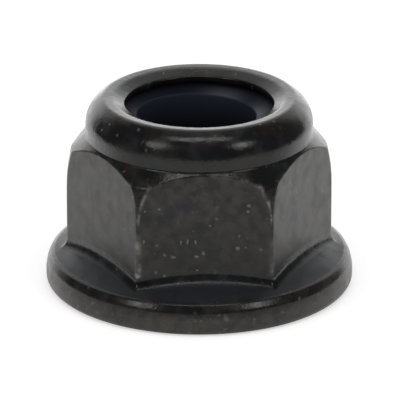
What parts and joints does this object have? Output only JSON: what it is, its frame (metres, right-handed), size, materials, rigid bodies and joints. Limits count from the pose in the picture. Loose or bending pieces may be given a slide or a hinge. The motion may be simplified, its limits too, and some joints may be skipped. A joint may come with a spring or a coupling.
{
  "type": "prevailing-torque hexagon flange lock nut with nylon insert",
  "caption": "Hexagon lock nut with a round flange at its foot and a nylon ring held under a rolled-in collar.",
  "frame": {"origin": "centre of the bearing face under the flange", "axes": "+Z along the thread axis from the bearing face towards the collar; one flat of the hexagon faces -Y"},
  "size_m": [0.0174, 0.0174, 0.0109],
  "materials": {
    "blackened_steel": "black zinc or oxide, semi-gloss, a little worn",
    "insert_nylon": "smooth dark blue nylon"
  },
  "bodies": {
    "root": {"nut_body": "blackened_steel", "nylon_insert": "insert_nylon"}
  },
  "joints": []
}
